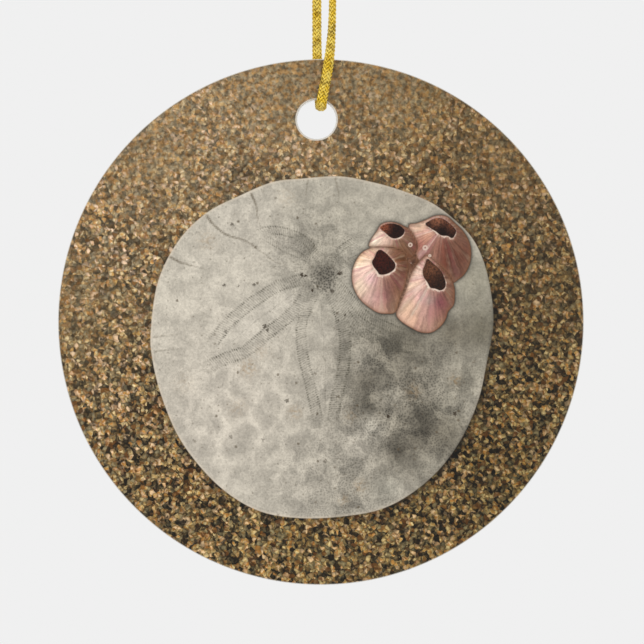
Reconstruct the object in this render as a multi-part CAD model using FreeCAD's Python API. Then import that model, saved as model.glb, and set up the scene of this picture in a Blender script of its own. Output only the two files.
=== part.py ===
import FreeCAD, Part
import math
import os

# Round ceramic hanging ornament on a cord loop. Millimetres.
# Origin: the point under the knot where the loop is hung. +Z up, +X to the right,
# the printed face looks along -Y and the plain back along +Y.

# Driving dimensions
disc_diameter = 73.0        # across the ceramic disc
disc_thickness = 4.0        # over the print and the glaze
rim_round = 0.6             # rounding of the disc's front and back rim edges
print_thickness = 0.15      # printed coat on the front face
hole_diameter = 5.4         # hanging hole
hole_edge = 5.7             # from the hole's top to the disc's top
hole_side = -0.6            # the hole stands this far left of the disc's middle
hole_round = 0.6            # rounding of the hole's two edges
hang_drop = 86.0            # from the hanging point down to the disc's middle
cord_diameter = 1.3         # braided cord
cord_clearance = 0.15       # between the cord and the ceramic that it passes
knot_diameter = 5.8         # across the knot
knot_height = 6.0           # from the strands below to the cord ends above
knot_round = 1.9            # rounding of the knot's top and bottom
strand_spread = 0.8         # each strand enters the knot this far from its axis
strand_depth = 0.3          # and this far to the front or the back of it

# Worked out from the driving dimensions
disc_radius = disc_diameter / 2
cord_radius = cord_diameter / 2
hole_radius = hole_diameter / 2
hole_z = disc_radius - hole_edge - hole_radius
front_y = -disc_thickness / 2
back_y = disc_thickness / 2
print_back_y = front_y + print_thickness
strand_y = disc_thickness / 2 + cord_clearance + cord_radius
fold_radius = cord_radius + cord_clearance + hole_round
fold_tangent = 0.585 * fold_radius
cord_z = hole_z + math.sqrt((hole_radius - cord_clearance - cord_radius) ** 2 - hole_side ** 2)
pivot_z = cord_z - hang_drop
arc_share = 0.45            # of the shorter run, taken by the arc at a point


def vec(x, y, z):
    return FreeCAD.Vector(x, y, z)


def save(shape, node):
    shape.exportStep("parts/" + node + ".step")


def rounded_disc():
    """The whole disc with its rounded rim and its rounded hole, standing on edge."""
    disc = Part.makeCylinder(disc_radius, disc_thickness, vec(0, front_y, 0), vec(0, 1, 0))
    disc = disc.makeFillet(rim_round, disc_edges(disc, disc_radius))
    hole = Part.makeCylinder(hole_radius, disc_thickness, vec(hole_side, front_y, hole_z), vec(0, 1, 0))
    disc = disc.cut(hole)
    return disc.makeFillet(hole_round, disc_edges(disc, hole_radius))


def disc_edges(solid, radius):
    """The full circles of one radius that lie on the front and the back face."""
    edges = []
    for edge in solid.Edges:
        round_edge = isinstance(edge.Curve, Part.Circle) and abs(edge.Curve.Radius - radius) < 1e-6
        if round_edge and abs(abs(edge.Curve.Center.y) - back_y) < 1e-6:
            edges.append(edge)
    return edges


def front_slab():
    """A block that holds only the printed coat's depth of the disc."""
    side = disc_diameter + 2 * cord_diameter
    return Part.makeBox(side, print_thickness, side, vec(-side / 2, front_y, -side / 2))


def lowered(shape):
    """A shape drawn about the disc's middle, moved down to where it hangs."""
    placed = shape.copy()
    placed.translate(vec(0, 0, -hang_drop))
    return placed


def tangent_path(points, name):
    """Straight runs through the points, joined by tangent arcs. Returns the wire and its length."""
    edges = []
    start = points[0]
    tightest = None
    for before, corner, after in zip(points, points[1:], points[2:]):
        run_in = corner - before
        run_out = after - corner
        half_turn = run_in.getAngle(run_out) / 2
        radius = arc_share * min(run_in.Length, run_out.Length) / math.tan(half_turn)
        print("%s radius %.1f turn %.0f" % (name, radius, math.degrees(2 * half_turn)))
        tightest = radius if tightest is None else min(tightest, radius)
        reach = radius * math.tan(half_turn)
        towards = FreeCAD.Vector(run_in).normalize()
        away = FreeCAD.Vector(run_out).normalize()
        arc_start = corner - towards * reach
        arc_end = corner + away * reach
        inward = (away - towards).normalize()
        middle = corner + inward * (radius / math.cos(half_turn) - radius)
        edges.append(Part.LineSegment(start, arc_start).toShape())
        edges.append(Part.Arc(arc_start, middle, arc_end).toShape())
        start = arc_end
    edges.append(Part.LineSegment(start, points[-1]).toShape())
    wire = Part.Wire(edges)
    print("%s length %.1f tightest radius %.2f" % (name, wire.Length, tightest))
    return wire


def cord_tube(points, name):
    """A round cord along the points, checked against its section times its length."""
    wire = tangent_path(points, name)
    section = Part.Wire(Part.makeCircle(cord_radius, points[0], points[1] - points[0]))
    tube = wire.makePipeShell([section], True, True)
    expected = math.pi * cord_radius ** 2 * wire.Length
    print("%s volume %.2f expected %.2f" % (name, tube.Volume, expected))
    return tube


def loop_points():
    """The cord's route from the knot down the front, through the hole and up the back."""
    front = [
        vec(strand_spread, -strand_depth, 0),
        vec(strand_spread, -strand_depth, -10.0),
        vec(1.50, -1.35, pivot_z + 30.1),
        vec(1.63, -2.35, pivot_z + 18.6),
        vec(1.62, -strand_y, pivot_z + 12.1),
        vec(1.25, -strand_y, pivot_z + 6.9),
        vec(0.55, -strand_y, pivot_z + 3.0),
        vec(0.10, -strand_y, pivot_z + fold_tangent),
    ]
    through = [
        vec(0.05, fold_tangent - strand_y, pivot_z),
        vec(-0.02, 0, pivot_z - 0.06),
        vec(-0.08, strand_y - fold_tangent, pivot_z),
    ]
    back = [
        vec(-0.12, strand_y, pivot_z + fold_tangent),
        vec(-0.34, strand_y, pivot_z + 3.0),
        vec(-0.54, strand_y, pivot_z + 6.9),
        vec(-0.57, strand_y, pivot_z + 12.1),
        vec(-0.57, 2.35, pivot_z + 18.6),
        vec(-0.62, 1.35, pivot_z + 30.1),
        vec(-strand_spread, strand_depth, -10.0),
        vec(-strand_spread, strand_depth, 0),
    ]
    return front + through + back


def front_end_points():
    """The longer free end, which leans to the right above the knot."""
    return [
        vec(strand_spread, -strand_depth, knot_height),
        vec(strand_spread, -strand_depth, knot_height + 3.2),
        vec(1.5, -0.6, knot_height + 6.8),
        vec(3.1, -0.9, knot_height + 9.6),
    ]


def back_end_points():
    """The shorter free end, which leans to the left and a little back."""
    return [
        vec(-strand_spread, strand_depth, knot_height),
        vec(-strand_spread, strand_depth, knot_height + 2.6),
        vec(-1.4, 0.8, knot_height + 5.4),
        vec(-2.8, 1.5, knot_height + 7.6),
    ]


def ceramic_disc():
    disc = rounded_disc().cut(front_slab())
    save(lowered(disc), "ceramic_disc")


def front_print():
    coat = rounded_disc().common(front_slab())
    save(lowered(coat), "front_print")


def cord_loop():
    save(cord_tube(loop_points(), "cord_loop"), "cord_loop")


def cord_knot():
    """The knot's plain body, flat where the strands enter and where the ends leave."""
    body = Part.makeCylinder(knot_diameter / 2, knot_height)
    rims = [edge for edge in body.Edges if isinstance(edge.Curve, Part.Circle)]
    save(body.makeFillet(min(knot_round, 0.45 * knot_height), rims), "cord_knot")


def cord_ends():
    save(cord_tube(front_end_points(), "cord_end_front"), "cord_end_front")
    save(cord_tube(back_end_points(), "cord_end_back"), "cord_end_back")


os.makedirs("parts", exist_ok=True)
ceramic_disc()
front_print()
cord_loop()
cord_knot()
cord_ends()
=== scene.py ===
import math

import bmesh
import bpy
import numpy as np
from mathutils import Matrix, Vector


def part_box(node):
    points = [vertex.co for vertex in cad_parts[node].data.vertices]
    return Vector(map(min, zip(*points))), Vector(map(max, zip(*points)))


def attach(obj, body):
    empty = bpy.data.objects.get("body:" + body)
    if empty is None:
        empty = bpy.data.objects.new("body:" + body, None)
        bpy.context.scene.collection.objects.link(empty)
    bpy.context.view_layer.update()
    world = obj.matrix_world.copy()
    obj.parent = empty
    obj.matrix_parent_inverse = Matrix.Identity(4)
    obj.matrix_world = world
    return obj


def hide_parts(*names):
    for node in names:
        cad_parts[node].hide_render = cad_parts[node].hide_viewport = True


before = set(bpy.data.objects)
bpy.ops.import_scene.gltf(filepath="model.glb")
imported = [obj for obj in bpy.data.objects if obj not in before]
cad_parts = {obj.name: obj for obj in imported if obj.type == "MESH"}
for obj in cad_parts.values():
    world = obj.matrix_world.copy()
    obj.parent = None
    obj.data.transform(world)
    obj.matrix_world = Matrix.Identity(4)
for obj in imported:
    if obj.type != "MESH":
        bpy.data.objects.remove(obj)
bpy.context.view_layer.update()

# The looks of a round ceramic hanging ornament: a printed face, a white glazed body and a gold
# braided cord loop tied in a knot. Sizes are in metres; the picture on the face is laid out in
# millimetres from the disc's middle, right and up.

bl_info = {
    "name": "Printed Ceramic Ornament",
    "version": (1, 0, 0),
    "blender": (4, 5, 0),
    "location": "3D View > Sidebar > Ornament",
    "description": "Builds a round printed ceramic ornament on a gold cord loop",
    "category": "Add Mesh",
}

MM = 0.001
FULL_TURN = 2 * math.pi
DISC_LOW, DISC_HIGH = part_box("ceramic_disc")
DISC_MIDDLE = (DISC_LOW + DISC_HIGH) / 2
DISC_AXIS = Vector((DISC_MIDDLE.x, 0, DISC_MIDDLE.z))
DISC_RADIUS = (DISC_HIGH.x - DISC_LOW.x) / 2
FRONT_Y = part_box("front_print")[0].y
BACK_Y = DISC_HIGH.y

# The stage. Each light: its place from the disc's middle, its size, its share of the key power.
CAMERA_SIDE = 0.00015       # how far right of the disc's middle the camera stands
LIGHTS = (("key", (-0.5, -0.6, 0.35), 0.5, 1.0), ("fill", (0.6, -0.5, 0.0), 0.6, 0.4))

# Steps of the meshes
RIM_STEPS = 256
HOLE_STEPS = 96
FRONT_EDGE_STEPS = 5
BACK_EDGE_STEPS = 9
WRAP_STEPS = 6
GRID_MARGIN = 0.00012       # the face's grid ends this far outside the rounded hole
HOLE_EDGE_INSET = 0.12      # the print turns white this far into the hole's rounding, in millimetres
CORD_STEP = 0.00012         # between the points of a cord's middle line
ROWS_PER_PITCH = 32         # rings of points on a strand for each of its turns

# The braid. The shares are of the cord's diameter.
STRANDS_EACH_WAY = 8
STRAND_SIDES = 6
STRAND_THICKNESS = 0.16
STRAND_WAVE = 0.055
STRAND_COVER = 0.94         # a strand's width, as a share of the room that it has
CORE_SIDES = 13
CORE_RADIUS = 0.33
FLATNESS = 0.20             # the loop is this much wider one way and thinner the other
# Share of the loop's length, and how far its wide side has turned away from the view there.
LOOP_TURN = (
    (0, 1.57), (0.35, 1.45), (0.39, 1.1), (0.43, 0.35), (0.46, 0), (0.53, 0), (0.6, 0.5), (1, 0.6),
)

# The cord's route, the same points as the designed tube's: from the knot down the front, through
# the hole and up the back.
CORD_ROUTE = [
    (0.0008, -0.0003, 0), (0.0008, -0.0003, -0.01), (0.0015, -0.00135, -0.026),
    (0.00163, -0.00235, -0.0375), (0.00162, -0.0028, -0.044), (0.00125, -0.0028, -0.0492),
    (0.00055, -0.0028, -0.0531), (0.0001, -0.0028, -0.05528), (0.00005, -0.00198, -0.0561),
    (-0.00002, 0, -0.05616), (-0.00008, 0.00198, -0.0561), (-0.00012, 0.0028, -0.05528),
    (-0.00034, 0.0028, -0.0531), (-0.00054, 0.0028, -0.0492), (-0.00057, 0.0028, -0.044),
    (-0.00057, 0.00235, -0.0375), (-0.00062, 0.00135, -0.026), (-0.0008, 0.0003, -0.01),
    (-0.0008, 0.0003, 0),
]
FRONT_END_ROUTE = [
    (0.0008, -0.0003, 0.006), (0.0008, -0.0003, 0.0092), (0.0015, -0.0006, 0.0128),
    (0.0031, -0.0009, 0.0156),
]
BACK_END_ROUTE = [
    (-0.0008, 0.0003, 0.006), (-0.0008, 0.0003, 0.0086), (-0.0014, 0.0008, 0.0114),
    (-0.0028, 0.0015, 0.0136),
]
# The two strands of the knot, each from the loop up to its free end.
KNOT_FRONT = [
    (0.0008, -0.0003, 0), (0.0008, -0.0003, 0.0004), (0.0009, -0.0005, 0.0011), (0.0013, -0.0013, 0.0021),
    (0.0006, -0.0022, 0.0036), (-0.0011, -0.0019, 0.0046), (-0.0022, -0.0001, 0.0042),
    (-0.0015, 0.0018, 0.0032), (0.0006, 0.0022, 0.0028), (0.0021, 0.0009, 0.0031),
    (0.0013, -0.0006, 0.0042), (0.0008, -0.0003, 0.0054), (0.0008, -0.0003, 0.006),
]
KNOT_BACK = [
    (-0.0008, 0.0003, 0), (-0.0008, 0.0003, 0.0004), (-0.0006, -0.0003, 0.001), (0, -0.0017, 0.0012),
    (0.0005, -0.0022, 0.0021), (-0.0012, -0.002, 0.0032), (-0.0022, -0.0001, 0.0029),
    (-0.0015, 0.0018, 0.0019), (0.0006, 0.0022, 0.0015), (0.0021, 0.0009, 0.0018), (0.0012, -0.0002, 0.003),
    (-0.0006, 0.0002, 0.0044), (-0.0008, 0.0003, 0.0053), (-0.0008, 0.0003, 0.006),
]

# The picture: outlines and lines in millimetres from the disc's middle, right and up.
TEST_OUTLINE = [
    (-23.6, -1.2), (-22.6, 5.6), (-19.8, 11.2), (-15.9, 15.1), (-11.3, 17.5), (-6.7, 19.4), (-2.5, 19.9),
    (2.6, 20.2), (7.1, 19.4), (11, 18.3), (15.4, 16.5), (18.6, 14.1), (21, 11.6), (22.6, 8.3), (23.6, 4),
    (23.9, -0.5), (23, -5.6), (21.9, -10.6), (19.8, -15.6), (16.8, -20), (12.8, -23.6), (8.2, -26),
    (2.6, -27), (-2.9, -27.2), (-8, -26.4), (-12.3, -24.2), (-16.2, -20.7), (-19.8, -15.8), (-22.2, -10),
    (-23.4, -5),
]
# Each groove: its darkness, then its points.
GROOVES = [
    (0.9, [(-15.9, 14.8), (-14.8, 13.4), (-12.9, 12), (-10.5, 11.3), (-8.2, 9.7), (-6.4, 8.4),
           (-4.3, 7.7)]),
    (0.9, [(-9.7, 17.8), (-9, 16.2), (-8.8, 14.6), (-8.3, 12.9)]),
    (0.6, [(-8.2, 18.3), (-7.6, 17.2)]),
    (0.9, [(-20.9, 9), (-19.5, 8.3), (-18.2, 7.9), (-15.7, 7.2)]),
    (0.6, [(-23.2, -2.1), (-20.7, -1.8), (-18.2, -1.6)]),
    (0.6, [(-23, -4.1), (-20.7, -3.8), (-18.2, -3.8)]),
    (0.6, [(-1.8, 19.7), (-2.1, 17.6), (-2.2, 16.2)]),
    (0.7, [(2, 19.9), (2.4, 18), (2.4, 16.2)]),
]
# Each row of pores: its darkness, its width, then its points from the middle outwards.
PORE_ROWS = [
    (0.9, 1.5, [(-0.9, 4.2), (-2.3, 0.9), (-2.8, -1.5), (-2.4, -5), (-1.6, -8.4), (-0.7, -12.2),
        (-0.4, -13.8)]),
    (1, 1.7, [(1.4, 4.2), (2.7, 0.9), (3.3, -1.8), (3.3, -5), (2.8, -8.1), (2.1, -10.9), (1.7, -13.2)]),
    (0.9, 1.7, [(-2, 6.1), (-6, 4.9), (-8.5, 3.4), (-10.9, 1.6), (-13, -0.3), (-14.9, -2.7)]),
    (0.9, 1.8, [(-1.6, 4.3), (-3.6, 1.6), (-5.3, 0.1), (-7.8, -1.9), (-10.5, -4.1), (-13, -5),
        (-15.6, -6.2)]),
    (1, 1.2, [(-0.3, 8.4), (-1.5, 10.6), (-3.2, 11.9), (-5.3, 12.6), (-7.4, 12.7), (-8.6, 12.3)]),
    (0.6, 0.9, [(-1, 8), (-2.9, 9.2), (-5, 10.1), (-7.1, 11.3), (-8.4, 12.1)]),
    (0.9, 0.9, [(1, 7.7), (1.8, 9.2), (3.2, 10.5), (5.1, 11.6)]),
    (0.6, 0.8, [(1.8, 7), (3.5, 8.1), (5.1, 9), (6.8, 9.9)]),
    (1, 1.4, [(2.2, 5.5), (4.3, 3), (6.2, 0.9), (8.9, -0.5), (12.4, -2)]),
    (0.9, 1.3, [(1.8, 4.7), (3.3, 1.6), (5.1, -0.9), (7.5, -2.3), (10.7, -3.4), (14, -3.9)]),
]
PORE_PITCH = 0.32           # from one tooth of a row's comb to the next
# Each speck: right, up, radius, darkness.
SPECKS = [
    (9.3, -13.1, 0.3, 1), (18.6, -12.7, 0.32, 0.9), (0.6, -19.3, 0.34, 0.6), (-4.7, -10.9, 0.34, 0.8),
    (-12.3, 13.5, 0.3, 0.8), (-7.8, -0.6, 0.34, 0.9), (-7.4, -1.1, 0.28, 0.9), (-12.5, -15.9, 0.3, 0.5),
    (-8, -16.3, 0.3, 0.5), (-2.6, 6.5, 0.3, 1), (-2.1, 6.4, 0.26, 1), (-1.2, 4.4, 0.26, 1),
    (1.6, 4.25, 0.32, 0.8), (2.5, 6.75, 0.3, 1), (2.9, 6.8, 0.22, 0.8), (3.3, 0.9, 0.24, 0.9),
    (2.5, 0.2, 0.2, 0.7), (-13.4, 5.1, 0.26, 0.8), (-9.3, 5.2, 0.28, 0.8), (-11.4, 5, 0.22, 0.6),
    (8.3, -10.8, 0.24, 0.7), (-13.2, -1.2, 0.22, 0.6), (6.2, -13.4, 0.22, 0.6),
]
# Each stain: right, up, radius, strength.
STAINS = [
    (18.6, -8.1, 0.5, 0.9), (12.8, -9.6, 0.7, 0.6), (5.4, -22.8, 0.6, 0.8), (3.1, -24.7, 0.5, 0.7),
    (-3.6, -12.5, 0.6, 0.9), (-10.1, -6.4, 0.8, 0.9), (-15.8, 11.3, 0.8, 0.6), (-11.6, -11.8, 0.9, 0.4),
    (-8.2, -4.1, 0.7, 0.4), (4, -13, 0.7, 0.4), (-4.8, 17.2, 0.9, 0.3), (-19, -8.5, 0.9, 0.3),
]
# Each barnacle, from the back of the cluster forwards: how light it is, its outline, its mouth.
BARNACLES = {
    "roots": (0.8,
        [(11, 9.9), (12.4, 10.9), (13.6, 10.2), (13.9, 8.6), (12.9, 6.9), (12, 4.6), (11.3, 2.9),
         (10.9, 1.6), (10.3, 1.7), (10.6, 3.6), (11.4, 6.4), (11.4, 8.4)],
        [(12.3, 8.2), (12.4, 8.4), (12.5, 8.2)]),
    "back_right": (0.86,
        [(12.15, 13.45), (13.3, 13.75), (14.6, 14.25), (15.6, 14.7), (16.65, 14.85), (17.65, 14.6),
         (18.55, 13.8), (19.6, 12.8), (20.35, 11.7), (20.8, 10.4), (20.85, 9), (20.55, 7.7), (19.9, 6.55),
         (19.05, 5.85), (18.3, 5.45), (16.75, 6.2), (14.85, 7.2), (13.55, 8.5), (12.9, 10.05),
         (12.65, 11.7)],
        [(14.45, 13.55), (15.05, 14.05), (16.05, 14.45), (17, 14.3), (18, 13.6), (18.7, 12.85),
         (18.75, 12.35), (18.25, 11.6), (17.55, 11.9), (16.65, 12), (15.9, 12.55), (15.3, 12.9)]),
    "back_left": (0.98,
        [(6.6, 10.55), (6.9, 11.45), (7.65, 12.55), (8.3, 13.55), (9.3, 13.9), (10.45, 13.8), (11.5, 13.35),
         (12.25, 12.9), (12.9, 11.95), (13.35, 10.8), (13.25, 9.9), (12.7, 8.95), (11.65, 9), (10.35, 9.75),
         (8.8, 10.15), (7.5, 10.3)],
        [(8.15, 13.1), (8.8, 13.55), (9.85, 13.7), (10.85, 13.45), (11.5, 12.95), (11.65, 12.6),
         (11.35, 12), (10.75, 11.65), (10.1, 11.55), (9.5, 11.8), (9, 12.25), (8.35, 12.8)]),
    "front_left": (1.02,
        [(7.8, 10.4), (6.5, 10.15), (5.4, 9.4), (4.55, 7.95), (4.25, 6.45), (4.45, 4.9), (5.2, 3.35),
         (6.35, 2.2), (7.8, 1.3), (9.05, 1.1), (10.35, 1.35), (11, 3.25), (11.65, 4.9), (12.05, 6.7),
         (12.2, 7.95), (11.65, 9.5), (10.35, 10.2), (9.05, 10.4)],
        [(8.2, 10.05), (7.7, 9.7), (7.4, 8.95), (7.05, 8.4), (7.25, 7.7), (7.8, 7), (8.15, 6.55),
         (9.2, 6.65), (10.15, 7.25), (10.35, 8.05), (9.65, 8.95), (8.95, 9.65)]),
    "front_right": (0.94,
        [(14.7, 9.25), (13.95, 8.7), (13.05, 7.7), (12.45, 6.55), (11.9, 4.9), (11.35, 3.5), (10.75, 2.05),
         (10.4, 1.05), (11, 0.15), (12.4, -0.8), (13.95, -1.5), (15.45, -1.45), (16.65, -0.6), (17.35, 0.4),
         (17.7, 1.45), (18.45, 2.35), (18.6, 3.75), (18.5, 5), (17.9, 6.3), (17.15, 7.2), (15.75, 8.5)],
        [(14.75, 8.8), (14.4, 7.95), (14.1, 7.15), (14.2, 6.3), (14.75, 5.45), (15.15, 4.75), (15.85, 4.6),
         (16.55, 4.35), (17.15, 4.65), (17.35, 5.3), (17.15, 6.1), (16.75, 7), (16.1, 7.7), (15.35, 8.35)]),
}
# Each tiny ring: right, up, radius, strength.
TINY_RINGS = [(12.4, 10.7, 0.3, 1), (14.45, 10.3, 0.34, 1), (15.1, 9.2, 0.22, 1)]

# Washes of colour: the ground colour, then dabs of right, up, radius, colour and strength.
SAND_WASH = ((112, 91, 56), [
    (-14, 28, 14, (150, 127, 92), 0.9), (4, 30, 9, (140, 117, 82), 0.7), (-28, 12, 12, (140, 118, 84), 0.8),
    (-31, -8, 9, (128, 107, 72), 0.7), (29, 6, 11, (92, 74, 44), 0.9), (25, -22, 11, (88, 71, 39), 0.9),
    (0, -33, 12, (114, 94, 56), 0.6), (-10.5, 20.6, 1.6, (90, 74, 50), 0.7),
    (24, 20, 8, (118, 96, 64), 0.7),
])
SAND_MEAN = (0.262, 0.172, 0.081)   # of the grains alone, in linear light, so that the wash sets the mean
TEST_WASH = ((186, 179, 164), [
    (-15, 4, 9, (206, 198, 182), 1), (-14, -12, 9, (204, 195, 180), 0.9), (-9, 14, 6, (201, 193, 178), 0.8),
    (3, 16, 6, (181, 174, 158), 0.9), (14, 16.5, 4, (176, 168, 152), 0.9),
    (0, 9.5, 3.5, (166, 159, 144), 0.8), (0, -21, 8, (190, 182, 167), 0.8),
    (0.3, -5, 1.8, (198, 190, 175), 0.8), (8, -5, 5, (146, 139, 124), 0.9),
    (12.5, -4.5, 4, (128, 121, 106), 0.8), (22.4, -1, 3.4, (112, 106, 90), 0.95),
    (10, -12, 5, (146, 139, 124), 0.8), (15.5, -15, 4.5, (132, 125, 110), 0.9),
    (6.5, -9.5, 2, (120, 113, 100), 0.5), (11, -19, 3.6, (128, 121, 107), 0.7),
    (5, -23, 4.5, (166, 159, 144), 0.7), (21.5, 6, 3, (150, 144, 126), 0.8),
    (0.4, 6, 1.6, (150, 143, 128), 0.5), (18, -1.5, 1.6, (112, 104, 88), 0.7),
    (20.4, -8, 2.2, (158, 151, 134), 0.7), (11.5, 0, 2.2, (118, 112, 98), 0.5),
    (-4.6, 3, 1.2, (208, 200, 185), 0.6), (-7.4, 1.4, 1.5, (210, 202, 187), 0.7),
    (-10.4, -0.9, 1.7, (210, 202, 187), 0.7), (-13.2, -3, 1.5, (208, 200, 185), 0.6),
    (0.3, -1.5, 1.1, (198, 190, 175), 0.7), (0.4, -8.8, 1.4, (198, 190, 175), 0.7),
    (-3.6, 10.6, 0.7, (194, 186, 171), 0.6), (-6, 11.6, 0.7, (196, 188, 173), 0.6),
    (6.3, 1.6, 1, (160, 153, 138), 0.6), (6.2, -7.6, 1.3, (98, 92, 80), 0.62),
    (14.4, -13.8, 1.5, (92, 86, 74), 0.55), (10.8, -17.6, 1.4, (84, 78, 66), 0.65),
    (13.2, -16.4, 1, (92, 86, 74), 0.5), (6.6, -11.6, 1, (112, 106, 92), 0.6),
    (6.8, -14.8, 1.3, (184, 177, 162), 0.8), (9.3, -23.2, 1.3, (186, 180, 164), 0.8),
    (18.3, -12, 1.5, (176, 169, 152), 0.75), (9.8, -10.4, 1.2, (164, 157, 142), 0.7),
    (14.9, -20.2, 1.3, (166, 159, 143), 0.7), (4.9, -17.4, 1.6, (190, 182, 167), 0.7),
    (5.4, -4.9, 1.4, (168, 161, 147), 0.5), (17.9, -15.2, 2.2, (118, 111, 96), 0.6),
    (11.7, -2.1, 1.4, (100, 94, 82), 0.5),
])
BARNACLE_WASH = ((204, 164, 146), [
    (5.4, 7.4, 1.3, (244, 222, 196), 0.95), (5.6, 5, 1.2, (240, 214, 186), 0.9),
    (6.9, 6, 0.8, (224, 178, 178), 0.8), (7.6, 3.4, 1, (216, 176, 168), 0.8),
    (9, 3.6, 0.9, (196, 140, 142), 0.85), (9.9, 5.2, 0.8, (186, 132, 130), 0.7),
    (10.8, 4.2, 0.8, (170, 120, 96), 0.8), (11.4, 8.6, 1.1, (176, 118, 70), 0.95),
    (11.6, 6.2, 0.9, (156, 108, 78), 0.95), (10.6, 2.2, 0.8, (172, 122, 100), 0.8),
    (5.2, 9, 0.7, (214, 176, 136), 0.7), (7, 9.9, 0.7, (196, 150, 104), 0.7),
    (12.6, 5.2, 0.9, (236, 202, 176), 0.9), (11.8, 2.2, 1.2, (232, 196, 166), 0.95),
    (12.8, 0.4, 1.2, (224, 180, 152), 0.9), (14, 3.4, 0.8, (226, 176, 170), 0.85),
    (14.6, 1, 0.9, (214, 172, 158), 0.8), (15.3, 2.9, 0.5, (216, 202, 186), 0.8),
    (16.7, 2.6, 1.1, (166, 100, 114), 0.95), (16, 0.9, 0.8, (196, 140, 136), 0.8),
    (18, 3.6, 0.6, (196, 150, 126), 0.8), (13.6, 7, 0.8, (232, 200, 182), 0.85),
    (16.6, -0.3, 0.7, (206, 166, 138), 0.7), (17.4, 1.4, 0.6, (190, 146, 124), 0.7),
    (7.4, 11.3, 0.9, (240, 222, 198), 0.95), (9.4, 11.1, 0.8, (220, 186, 166), 0.9),
    (12.3, 11.2, 0.9, (172, 146, 122), 0.9), (11, 10, 0.8, (160, 122, 90), 0.8),
    (13.9, 13, 0.8, (222, 190, 162), 0.9), (14.6, 11.6, 1, (206, 152, 126), 0.85),
    (17.4, 10.2, 1.5, (164, 100, 84), 0.95), (19.8, 9.4, 1, (160, 108, 92), 0.95),
    (17.6, 8.2, 1.2, (132, 72, 52), 0.95), (13.6, 10.6, 0.7, (166, 96, 88), 0.85),
    (15, 9.9, 0.8, (164, 114, 92), 0.8), (19.6, 12.2, 0.9, (186, 150, 130), 0.8),
    (19, 7, 0.8, (146, 98, 76), 0.8), (12.4, 8.2, 0.9, (104, 66, 44), 0.95),
])
MOUTH_WASH = ((48, 22, 14), [
    (8.6, 8.6, 1.1, (84, 34, 22), 0.9), (9.6, 7.4, 0.8, (62, 28, 18), 0.9),
    (15.2, 7.3, 1, (138, 102, 78), 0.95), (14.9, 5.9, 0.7, (92, 60, 40), 0.8),
    (16.4, 5.2, 0.7, (58, 42, 28), 0.9), (8.8, 13.1, 0.6, (176, 112, 84), 0.95),
    (10.4, 12.4, 0.8, (40, 18, 12), 0.9), (16.2, 14.1, 0.7, (186, 138, 112), 0.95),
    (17.9, 13.4, 0.6, (150, 104, 82), 0.9), (16.9, 12.6, 0.8, (30, 14, 10), 0.95),
])
STAR = [(0.4, 7.9), (-0.9, 7), (-1.4, 5.9), (-0.9, 4.9), (0.2, 4.3), (1.5, 4.7), (2.1, 5.8), (1.8, 7)]
# How strongly the fine dots of the test show: right, up, radius, strength.
STIPPLE = [
    (12, -12, 7, 1), (8, -5, 4, 0.9), (0, 9, 4, 0.6), (0.4, 6, 1.8, 1), (4, -22, 6, 0.6),
]
# How strongly the plates of the test show.
PLATED = [
    (-12, -14, 8, 1), (0, -20, 6, 0.9), (12, -13, 7, 1), (-16, 6, 6, 0.5), (-2, 16, 6, 0.5),
    (18, -5, 5, 0.5), (-8, -8, 5, 0.6),
]
# Shade on the sand beside the test.
CAST_SHADE = [
    (17.5, -18, 6, 1), (22.5, -9, 6, 1), (12, -24, 4.5, 1), (-17, -20, 6, 0.35), (-23, -6, 7, 0.45),
    (24, 1, 5, 0.9), (-8, 18, 3, 0.5), (20, 14, 5, 0.8), (4, -27, 5, 0.7), (-21, 8, 5, 0.2),
]
# Where the sand is out of focus.
SOFT_FOCUS = [
    (-6, 36, 12, 1), (10, 36, 10, 1), (-24, 26, 10, 0.8), (26, 24, 9, 0.6), (-36, 4, 9, 0.5),
    (34, 8, 8, 0.3), (0, 27, 10, 0.6), (-18, 22, 8, 0.6),
]


# Settings

def length(name, description, default, low=0.0):
    return bpy.props.FloatProperty(name=name, description=description, default=default, min=low,
                                   precision=5, unit="LENGTH", subtype="DISTANCE")


def shade(name, description, default):
    return bpy.props.FloatVectorProperty(name=name, description=description, default=default, size=3,
                                         min=0.0, max=1.0, subtype="COLOR")


def amount(name, description, default):
    return bpy.props.FloatProperty(name=name, description=description, default=default, min=0.0,
                                   max=1.0, subtype="FACTOR")


class OrnamentDiscSettings(bpy.types.PropertyGroup):
    rim_round: length("Rim Rounding", "Rounding of the disc's rim", 0.0006)
    hole_radius: length("Hole Radius", "Radius of the hanging hole", 0.0027)
    hole_side: length("Hole Side", "How far right of the middle the hole stands", -0.0006, low=-0.01)
    hole_height: length("Hole Height", "How far above the middle the hole stands", 0.0281)
    hole_round: length("Hole Rounding", "Rounding of the hole's edges", 0.0006)
    print_wrap: length("Print Wrap", "How far back the print goes over the rounded edges", 0.0004)
    glaze: shade("Glaze", "Colour of the white glaze", (0.84, 0.83, 0.80))
    glaze_roughness: amount("Glaze Roughness", "Roughness of the white glaze", 0.16)


class OrnamentPrintSettings(bpy.types.PropertyGroup):
    cells: bpy.props.IntProperty(name="Cells", description="Mesh cells across the printed face",
                                 default=300, min=40, max=310)
    grain: length("Sand Grain", "Size of the printed sand grains", 0.00055)
    coat_roughness: amount("Coat Roughness", "Roughness of the printed coat", 0.28)


class OrnamentCordSettings(bpy.types.PropertyGroup):
    diameter: length("Cord Diameter", "Diameter over the braid", 0.00131)
    pitch: length("Braid Pitch", "Length in which a strand goes once round", 0.0045)
    gold: shade("Gold", "Colour of the metallic yarn", (0.80, 0.53, 0.035))
    # The core's dark colour is painted shade, standing in for the shade down in the braid's gaps.
    core: shade("Core", "Colour of the core seen between strands", (0.16, 0.095, 0.008))
    yarn_roughness: amount("Yarn Roughness", "Roughness of the metallic yarn", 0.38)


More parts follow.
